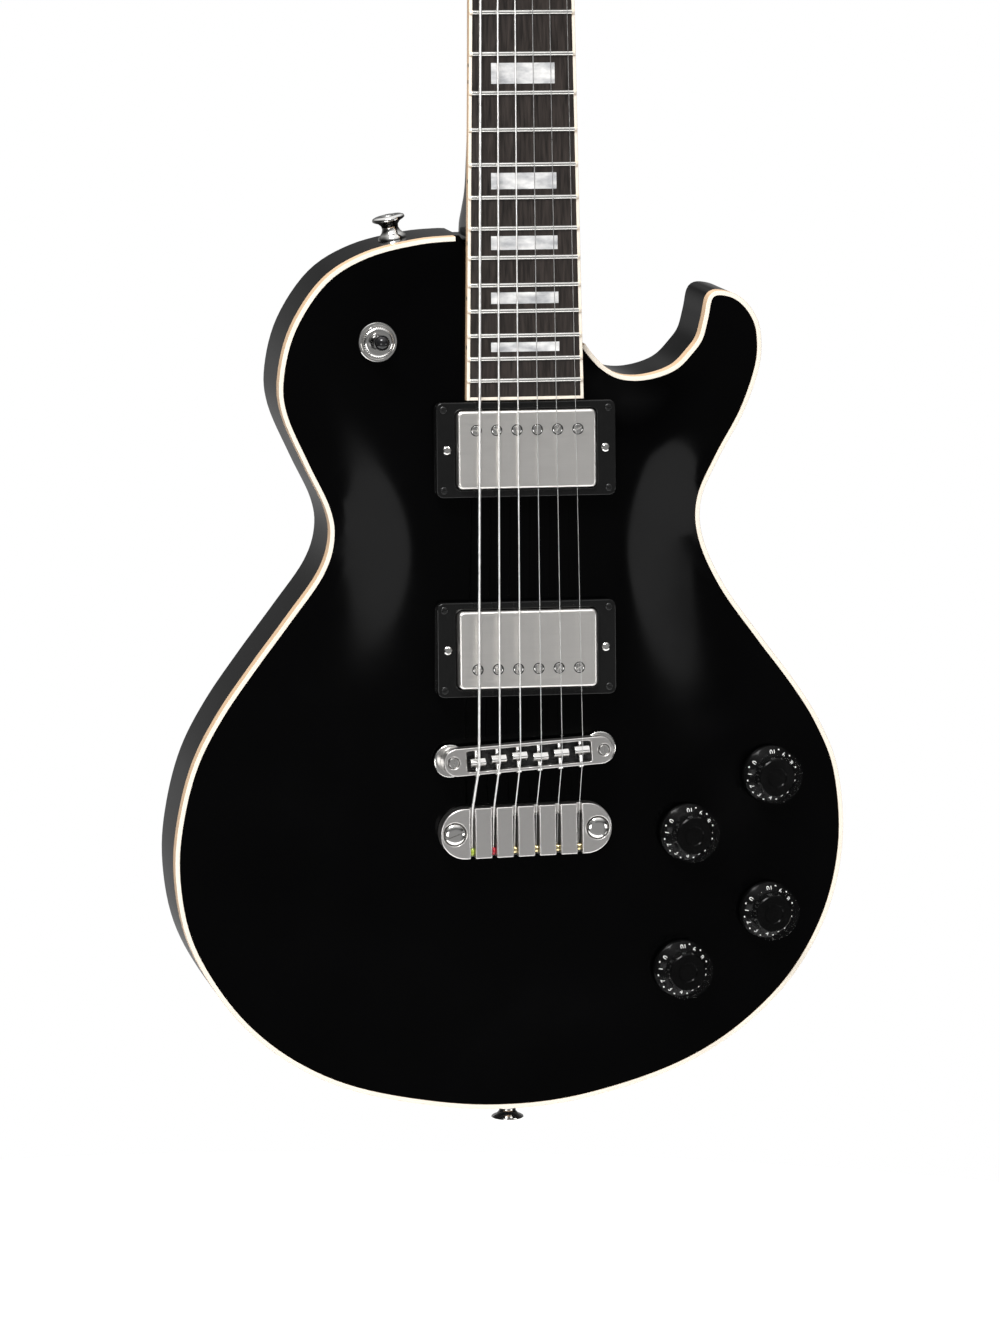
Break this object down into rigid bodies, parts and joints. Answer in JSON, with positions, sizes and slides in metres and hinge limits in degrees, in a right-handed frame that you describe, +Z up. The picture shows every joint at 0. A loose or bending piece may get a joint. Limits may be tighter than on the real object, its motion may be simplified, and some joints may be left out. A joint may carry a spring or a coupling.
{
  "type": "electric guitar",
  "caption": "Solid-body electric guitar with a carved single-cutaway body, a set neck, twin covered pickups, a stop tailpiece and a tilted symmetric headstock.",
  "frame": {"origin": "the hanger mount: on the neck's centre plane at the nut, in the middle of the neck's depth, where a wall hanger's yoke holds the headstock", "axes": "+Z up towards the headstock along the body's back, +X towards the treble side, +Y out of the flat back"},
  "size_m": [0.3332, 0.1285, 1.0068],
  "materials": {
    "black_lacquer": "high gloss black lacquer",
    "neck_lacquer": "gloss black lacquer",
    "cream_binding": "cream celluloid",
    "dark_fingerboard": "oiled dark hardwood",
    "nut_bone": "polished bone-like plastic",
    "steel": "plated steel",
    "nickel_plate": "polished nickel and chrome plate",
    "string_wire": "nickel-wound and plain steel",
    "black_plastic": "gloss black plastic"
  },
  "bodies": {
    "guitar": {"body": "black_lacquer", "body_binding": "cream_binding", "neck": "neck_lacquer", "fingerboard": "dark_fingerboard", "fingerboard_binding": "cream_binding", "nut": "nut_bone", "truss_rod": "steel", "truss_rod_cover": "black_plastic", "tuner_housing_1": "nickel_plate", "tuner_housing_2": "nickel_plate", "tuner_housing_3": "nickel_plate", "tuner_housing_4": "nickel_plate", "tuner_housing_5": "nickel_plate", "tuner_housing_6": "nickel_plate", "string_1": "string_wire", "string_2": "string_wire", "string_3": "string_wire", "string_4": "string_wire", "string_5": "string_wire", "string_6": "string_wire", "bridge": "nickel_plate", "bridge_post_bass": "nickel_plate", "bridge_post_treble": "nickel_plate", "tailpiece": "nickel_plate", "tailpiece_stud_bass": "nickel_plate", "tailpiece_stud_treble": "nickel_plate", "pickup_ring_neck": "black_plastic", "pickup_ring_bridge": "black_plastic", "control_plate": "steel", "switch_housing": "steel", "output_jack": "nickel_plate", "control_cover": "black_plastic", "switch_cover": "black_plastic", "strap_button_upper": "nickel_plate", "strap_button_bottom": "nickel_plate"},
    "tuner_button_1": {"tuner_button_1": "nickel_plate"},
    "tuner_post_1": {"tuner_post_1": "nickel_plate"},
    "tuner_button_2": {"tuner_button_2": "nickel_plate"},
    "tuner_post_2": {"tuner_post_2": "nickel_plate"},
    "tuner_button_3": {"tuner_button_3": "nickel_plate"},
    "tuner_post_3": {"tuner_post_3": "nickel_plate"},
    "tuner_button_4": {"tuner_button_4": "nickel_plate"},
    "tuner_post_4": {"tuner_post_4": "nickel_plate"},
    "tuner_button_5": {"tuner_button_5": "nickel_plate"},
    "tuner_post_5": {"tuner_post_5": "nickel_plate"},
    "tuner_button_6": {"tuner_button_6": "nickel_plate"},
    "tuner_post_6": {"tuner_post_6": "nickel_plate"},
    "knob_tone_neck": {"knob_tone_neck": "black_plastic"},
    "knob_volume_neck": {"knob_volume_neck": "black_plastic"},
    "knob_volume_bridge": {"knob_volume_bridge": "black_plastic"},
    "knob_tone_bridge": {"knob_tone_bridge": "black_plastic"},
    "switch_lever": {"switch_lever": "black_plastic"},
    "saddle_1": {"saddle_1": "nickel_plate"},
    "saddle_2": {"saddle_2": "nickel_plate"},
    "saddle_3": {"saddle_3": "nickel_plate"},
    "saddle_4": {"saddle_4": "nickel_plate"},
    "saddle_5": {"saddle_5": "nickel_plate"},
    "saddle_6": {"saddle_6": "nickel_plate"},
    "pickup_neck": {"pickup_neck": "nickel_plate"},
    "pickup_bridge": {"pickup_bridge": "nickel_plate"}
  },
  "joints": [
    {"name": "tuner_button_1_turn", "type": "hinge", "parent": "guitar", "child": "tuner_button_1", "pos_m": [0.024, 0.02945, 0.03672], "axis": [1, 0, 0], "continuous": true},
    {"name": "tuner_post_1_turn", "type": "hinge", "parent": "guitar", "child": "tuner_post_1", "pos_m": [0.024, 0.02726, 0.02997], "axis": [0, -0.9511, 0.309], "continuous": true},
    {"name": "tuner_button_2_turn", "type": "hinge", "parent": "guitar", "child": "tuner_button_2", "pos_m": [0.0225, 0.04181, 0.07477], "axis": [1, 0, 0], "continuous": true},
    {"name": "tuner_post_2_turn", "type": "hinge", "parent": "guitar", "child": "tuner_post_2", "pos_m": [0.0225, 0.03962, 0.06801], "axis": [0, -0.9511, 0.309], "continuous": true},
    {"name": "tuner_button_3_turn", "type": "hinge", "parent": "guitar", "child": "tuner_button_3", "pos_m": [0.021, 0.05418, 0.11281], "axis": [1, 0, 0], "continuous": true},
    {"name": "tuner_post_3_turn", "type": "hinge", "parent": "guitar", "child": "tuner_post_3", "pos_m": [0.021, 0.05198, 0.10606], "axis": [0, -0.9511, 0.309], "continuous": true},
    {"name": "tuner_button_4_turn", "type": "hinge", "parent": "guitar", "child": "tuner_button_4", "pos_m": [-0.021, 0.05418, 0.11281], "axis": [-1, 0, 0], "continuous": true},
    {"name": "tuner_post_4_turn", "type": "hinge", "parent": "guitar", "child": "tuner_post_4", "pos_m": [-0.021, 0.05198, 0.10606], "axis": [0, -0.9511, 0.309], "continuous": true},
    {"name": "tuner_button_5_turn", "type": "hinge", "parent": "guitar", "child": "tuner_button_5", "pos_m": [-0.0225, 0.04181, 0.07477], "axis": [-1, 0, 0], "continuous": true},
    {"name": "tuner_post_5_turn", "type": "hinge", "parent": "guitar", "child": "tuner_post_5", "pos_m": [-0.0225, 0.03962, 0.06801], "axis": [0, -0.9511, 0.309], "continuous": true},
    {"name": "tuner_button_6_turn", "type": "hinge", "parent": "guitar", "child": "tuner_button_6", "pos_m": [-0.024, 0.02945, 0.03672], "axis": [-1, 0, 0], "continuous": true},
    {"name": "tuner_post_6_turn", "type": "hinge", "parent": "guitar", "child": "tuner_post_6", "pos_m": [-0.024, 0.02726, 0.02997], "axis": [0, -0.9511, 0.309], "continuous": true},
    {"name": "knob_tone_neck_turn", "type": "hinge", "parent": "guitar", "child": "knob_tone_neck", "pos_m": [0.1247, -0.03219, -0.6536], "axis": [0.1357, -0.99, -0.039], "range_deg": [0, 300]},
    {"name": "knob_volume_neck_turn", "type": "hinge", "parent": "guitar", "child": "knob_volume_neck", "pos_m": [0.0818, -0.03848, -0.6802], "axis": [0.1357, -0.99, -0.039], "range_deg": [0, 300]},
    {"name": "knob_volume_bridge_turn", "type": "hinge", "parent": "guitar", "child": "knob_volume_bridge", "pos_m": [0.0803, -0.03381, -0.7492], "axis": [0.1357, -0.99, -0.039], "range_deg": [0, 300]},
    {"name": "knob_tone_bridge_turn", "type": "hinge", "parent": "guitar", "child": "knob_tone_bridge", "pos_m": [0.124, -0.03165, -0.7218], "axis": [0.1357, -0.99, -0.039], "range_deg": [0, 300]},
    {"name": "switch_lever_tilt", "type": "hinge", "parent": "guitar", "child": "switch_lever", "pos_m": [-0.0713, -0.02459, -0.4379], "axis": [1, 0, 0], "range_deg": [-12, 12]},
    {"name": "saddle_1_slide", "type": "slide", "parent": "guitar", "child": "saddle_1", "axis": [-0.0593, 0.0696, 0.9958], "range_m": [-0.0005, 0.00185]},
    {"name": "saddle_2_slide", "type": "slide", "parent": "guitar", "child": "saddle_2", "axis": [-0.0593, 0.0696, 0.9958], "range_m": [-0.0005, 0.00245]},
    {"name": "saddle_3_slide", "type": "slide", "parent": "guitar", "child": "saddle_3", "axis": [-0.0593, 0.0696, 0.9958], "range_m": [-0.0005, 0.00325]},
    {"name": "saddle_4_slide", "type": "slide", "parent": "guitar", "child": "saddle_4", "axis": [-0.0593, 0.0696, 0.9958], "range_m": [-0.0005, 0.00205]},
    {"name": "saddle_5_slide", "type": "slide", "parent": "guitar", "child": "saddle_5", "axis": [-0.0593, 0.0696, 0.9958], "range_m": [-0.0005, 0.00265]},
    {"name": "saddle_6_slide", "type": "slide", "parent": "guitar", "child": "saddle_6", "axis": [-0.0593, 0.0696, 0.9958], "range_m": [-0.0005, 0.00345]},
    {"name": "pickup_neck_height", "type": "slide", "parent": "guitar", "child": "pickup_neck", "axis": [0, -0.9976, 0.0698], "range_m": [-0.0025, 0.0008]},
    {"name": "pickup_bridge_height", "type": "slide", "parent": "guitar", "child": "pickup_bridge", "axis": [0, -0.9976, 0.0698], "range_m": [-0.003, 0.002]}
  ],
  "couplings": [
    {"joint": "tuner_post_1_turn", "follows": "tuner_button_1_turn", "ratio": 0.066667},
    {"joint": "tuner_post_2_turn", "follows": "tuner_button_2_turn", "ratio": 0.066667},
    {"joint": "tuner_post_3_turn", "follows": "tuner_button_3_turn", "ratio": 0.066667},
    {"joint": "tuner_post_4_turn", "follows": "tuner_button_4_turn", "ratio": -0.066667},
    {"joint": "tuner_post_5_turn", "follows": "tuner_button_5_turn", "ratio": -0.066667},
    {"joint": "tuner_post_6_turn", "follows": "tuner_button_6_turn", "ratio": -0.066667}
  ]
}
